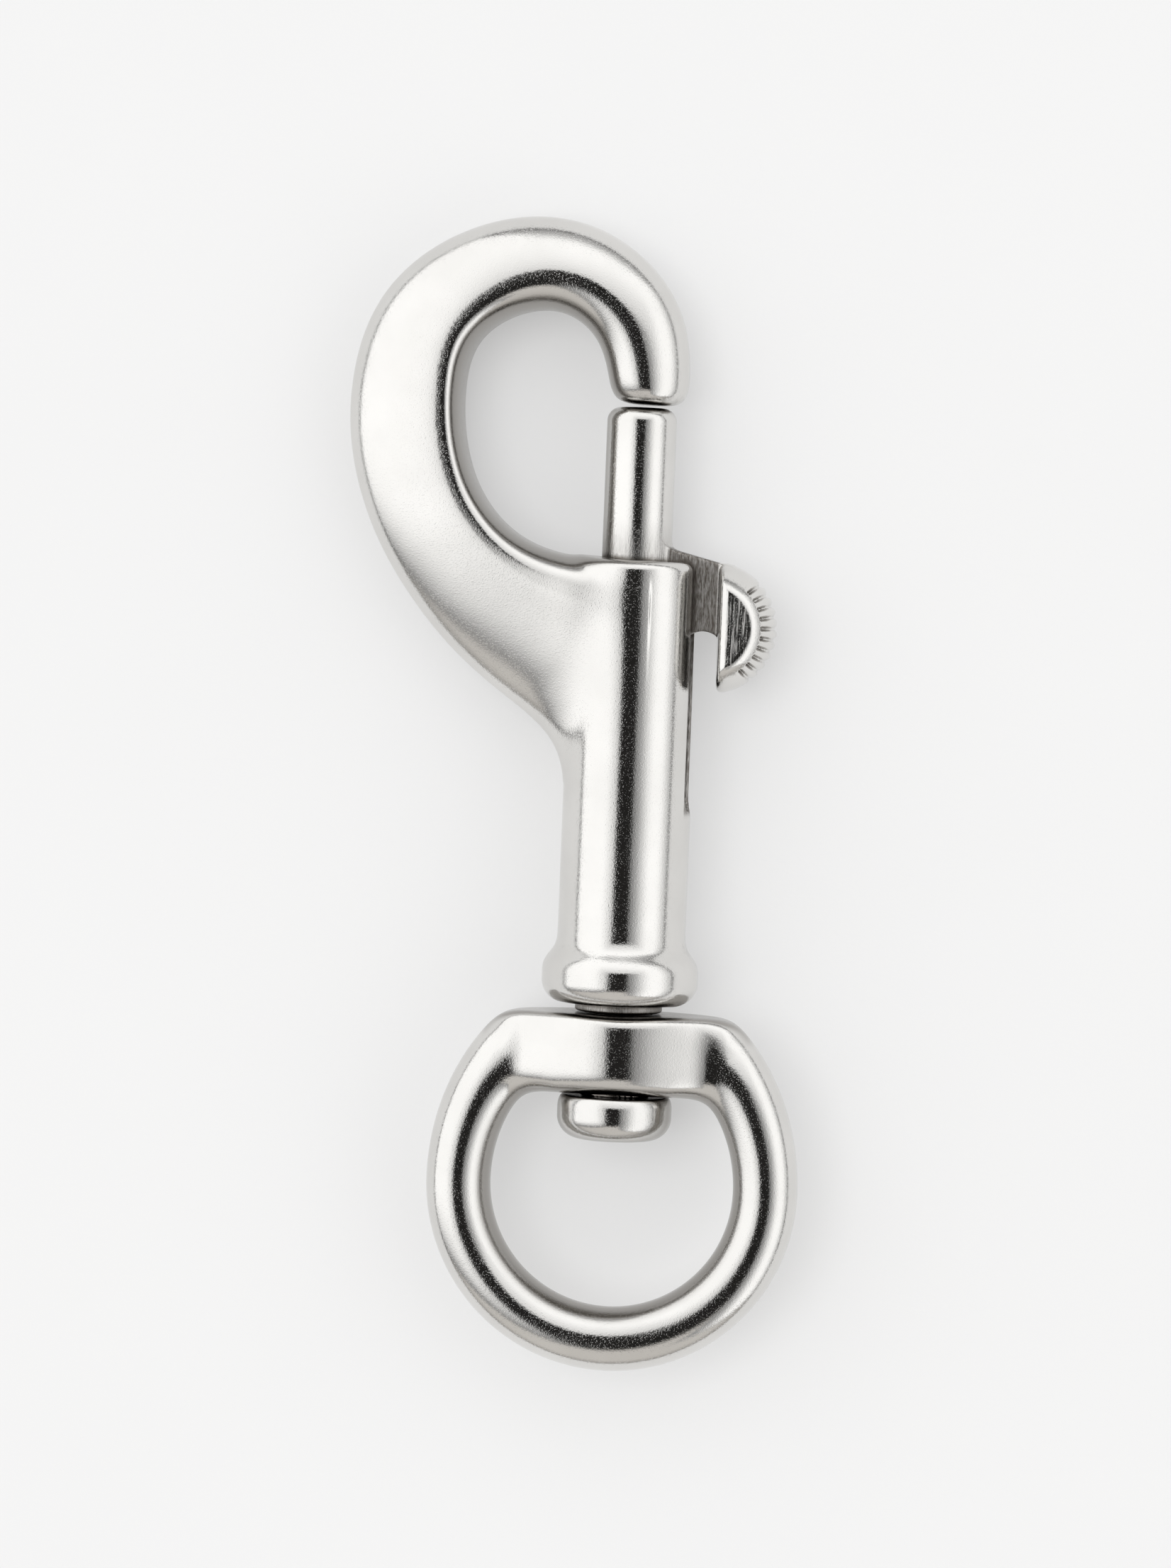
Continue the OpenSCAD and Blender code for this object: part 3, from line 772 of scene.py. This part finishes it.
def studio():
    world = bpy.data.worlds.new("studio")
    bpy.context.scene.world = world
    world.use_nodes = True
    nodes, links = world.node_tree.nodes, world.node_tree.links
    nodes.clear()
    out = nodes.new("ShaderNodeOutputWorld")
    split = nodes.new("ShaderNodeSeparateXYZ")
    links.new(nodes.new("ShaderNodeTexCoord").outputs["Generated"], split.inputs["Vector"])
    x, y, z = split.outputs

    def calc(operation, a, b=0.0):
        return sums(nodes, links, operation, a, b)

    def ramp(value, low, high, to_low=0.0, to_high=1.0):
        return ranged(nodes, links, value, low, high, to_low, to_high, smooth=True)

    up = calc("MAXIMUM", z, 0.0)

    def panel(side, sign, other, top, foot, start, end, soft, fade, rise):
        """A tilted panel: u runs from 0 at the horizon to 1 overhead, v runs sideways."""
        depth = calc("MAXIMUM", calc("MULTIPLY", side, sign), 0.0)
        total = calc("MAXIMUM", calc("ADD", up, depth), 0.001)
        u = calc("DIVIDE", up, total)
        v = calc("DIVIDE", other, total)
        shape = calc("MULTIPLY", ramp(u, foot - rise, foot + rise), ramp(u, top + soft, top - soft))
        shape = calc("MULTIPLY", shape, ramp(v, end + soft, end - soft))
        shape = calc("MULTIPLY", shape, ramp(v, start - fade, start + fade))
        return u, calc("MULTIPLY", shape, ramp(depth, 0.0, 0.02))

    u, left = panel(
        x, -1, y, top=0.785, foot=0.06, start=-0.38, end=1.75, soft=0.018, fade=0.28, rise=0.05)
    left = calc("MULTIPLY", left, ramp(u, 0.56, 0.80, 1.36, 0.84))
    u, right = panel(
        x, 1, y, top=0.79, foot=0.05, start=-0.85, end=0.86, soft=0.018, fade=0.10, rise=0.04)
    right = calc("MULTIPLY", right, ramp(u, 0.44, 0.76, 1.34, 0.36))
    right = calc("MULTIPLY", right, ramp(u, 0.08, 0.33, 0.55, 1.0))
    u, back = panel(
        y, 1, x, top=0.79, foot=0.06, start=-0.40, end=1.0, soft=0.02, fade=0.03, rise=0.05)
    back = calc("MULTIPLY", back, ramp(u, 0.40, 0.80, 1.34, 0.92))
    back = calc("MULTIPLY", back, ramp(u, 0.15, 0.33, 0.40, 1.0))
    light = calc("MAXIMUM", calc("MAXIMUM", left, right), back)
    soft = nodes.new("ShaderNodeBackground")
    soft.inputs["Color"].default_value = (1.0, 1.0, 1.0, 1)
    links.new(light, soft.inputs["Strength"])
    front = calc("MULTIPLY", ramp(y, -0.38, -0.60, 0.0, 0.70), ramp(z, 0.0, 0.30, 0.6, 1.0))
    front = calc("MULTIPLY", front, ramp(z, 0.0, 0.03))
    room = calc("MULTIPLY", ramp(z, 1.0, 0.2, 0.02, 0.06), ramp(z, 0.0, 0.02))
    warm = nodes.new("ShaderNodeBackground")
    warm.inputs["Color"].default_value = (1.0, 0.965, 0.92, 1)
    covered = ramp(light, 0.0, 0.3, 1.0, 0.0)
    links.new(calc("MULTIPLY", calc("MAXIMUM", front, room), covered), warm.inputs["Strength"])
    both = nodes.new("ShaderNodeAddShader")
    links.new(soft.outputs["Background"], both.inputs[0])
    links.new(warm.outputs["Background"], both.inputs[1])
    plain = nodes.new("ShaderNodeBackground")
    plain.inputs["Color"].default_value = (0.92, 0.92, 0.92, 1)
    plain.inputs["Strength"].default_value = 1.0
    mix = nodes.new("ShaderNodeMixShader")
    links.new(nodes.new("ShaderNodeLightPath").outputs["Is Camera Ray"], mix.inputs["Fac"])
    links.new(both.outputs["Shader"], mix.inputs[1])
    links.new(plain.outputs["Background"], mix.inputs[2])
    links.new(mix.outputs["Shader"], out.inputs["Surface"])


studio()


def soft_sun(name, place, angle, strength):
    """A wide light that casts the soft shadow on the floor, unseen in the plating."""
    data = bpy.data.lights.new(name, "SUN")
    data.angle = math.radians(angle)
    data.energy = strength
    lamp = linked(name, data)
    lamp.location = place
    lamp.rotation_euler = (-Vector(place)).to_track_quat("-Z", "Y").to_euler()
    lamp.visible_glossy = False
    lamp.visible_camera = False


soft_sun("key", place=(-0.23, 0.10, 0.93), angle=37, strength=0.9)


# Camera

def camera(aim, lean_x, lean_y, distance, span, roll):
    """Looks at a point of the flat frame from above, leaning a little to +X and +Y."""
    data = bpy.data.cameras.new("camera")
    piece = linked("camera", data)
    target = placed([aim])[0]
    back = np.array([math.tan(math.radians(lean_x)), math.tan(math.radians(lean_y)), 1.0])
    back /= np.linalg.norm(back)
    c, s = math.cos(math.radians(roll)), math.sin(math.radians(roll))
    up = np.array([s, c, 0.0])
    right = np.cross(up, back)
    right /= np.linalg.norm(right)
    up = np.cross(back, right)
    place = target + back * distance * 0.001
    matrix = np.eye(4)
    matrix[:3, 0], matrix[:3, 1], matrix[:3, 2], matrix[:3, 3] = right, up, back, place
    piece.matrix_world = Matrix(matrix.tolist())
    data.sensor_fit = "VERTICAL"
    data.sensor_height = 36
    data.lens = 36 * distance / span
    data.clip_start = 0.01
    data.clip_end = 20
    bpy.context.scene.camera = piece


camera(aim=(-3.24, 30.80, 0), lean_x=3.2, lean_y=4.2, distance=420, span=120.52, roll=-2.19)
bpy.context.scene.view_settings.view_transform = "Standard"
